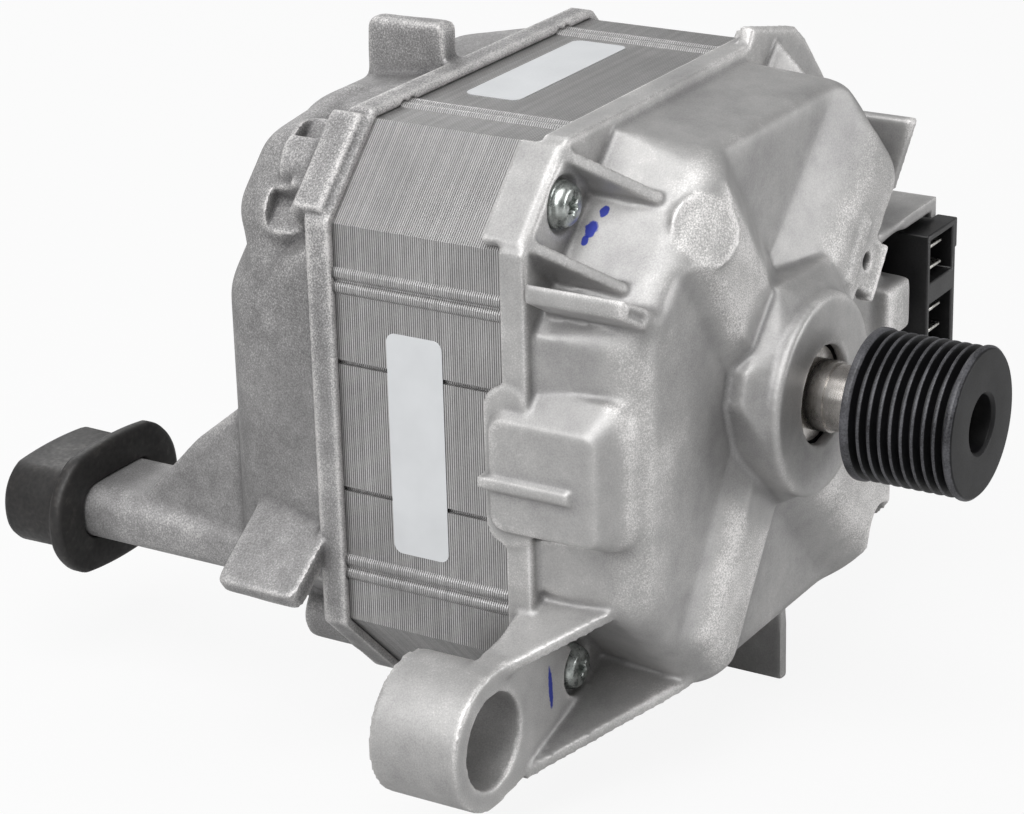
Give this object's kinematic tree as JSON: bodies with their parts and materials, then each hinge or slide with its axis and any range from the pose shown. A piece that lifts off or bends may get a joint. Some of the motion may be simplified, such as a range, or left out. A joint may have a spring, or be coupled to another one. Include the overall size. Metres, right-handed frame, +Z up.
{
  "type": "washing machine motor",
  "caption": "Belt-drive motor of a front-loading washing machine: square laminated stator between two cast shields, grooved pulley, mounting lug and rubber-bushed arm.",
  "frame": {"origin": "shaft axis, in the middle plane of the belt on the pulley", "axes": "+X across the motor towards the connector, +Y along the shaft from the pulley to the rear arm, +Z up"},
  "size_m": [0.1775, 0.208, 0.1458],
  "materials": {
    "cast_front": "satin",
    "cast_rear": "satin",
    "lamination": "satin",
    "steel": "satin",
    "zinc_plated": "gloss",
    "black_pulley": "satin",
    "black_plastic": "matte",
    "pale_plastic": "matte",
    "rubber": "matte",
    "copper": "satin",
    "magnet": "satin",
    "tin": "gloss",
    "label": "matte"
  },
  "bodies": {
    "motor_frame": {"stator_core": "lamination", "front_slot_insulator": "pale_plastic", "rear_slot_insulator": "pale_plastic", "stator_windings": "copper", "front_shield": "cast_front", "rear_shield": "cast_rear", "through_bolts": "zinc_plated", "front_bearing_outer_ring": "steel", "rear_bearing_outer_ring": "steel", "front_bearing_seals": "rubber", "rear_bearing_seals": "rubber", "wave_washer": "steel", "connector_housing": "black_plastic", "connector_tabs": "tin", "mount_bush": "rubber", "side_label": "label", "top_label": "label"},
    "rotor": {"shaft": "steel", "rotor_core": "lamination", "rotor_magnets": "magnet", "rotor_end_discs": "tin", "front_bearing_inner_ring": "steel", "rear_bearing_inner_ring": "steel", "pulley": "black_pulley"},
    "front_ball_set": {"front_bearing_balls": "steel", "front_bearing_cage": "black_plastic"},
    "rear_ball_set": {"rear_bearing_balls": "steel", "rear_bearing_cage": "black_plastic"}
  },
  "joints": [
    {"name": "rotor_spin", "type": "hinge", "parent": "motor_frame", "child": "rotor", "pos_m": [0, 0, 0], "axis": [0, 1, 0], "continuous": true},
    {"name": "front_balls_roll", "type": "hinge", "parent": "motor_frame", "child": "front_ball_set", "pos_m": [0, 0.03063, 0], "axis": [0, 1, 0], "continuous": true},
    {"name": "rear_balls_roll", "type": "hinge", "parent": "motor_frame", "child": "rear_ball_set", "pos_m": [0, 0.12703, 0], "axis": [0, 1, 0], "continuous": true}
  ],
  "couplings": [
    {"joint": "front_balls_roll", "follows": "rotor_spin", "ratio": 0.381},
    {"joint": "rear_balls_roll", "follows": "rotor_spin", "ratio": 0.365}
  ]
}
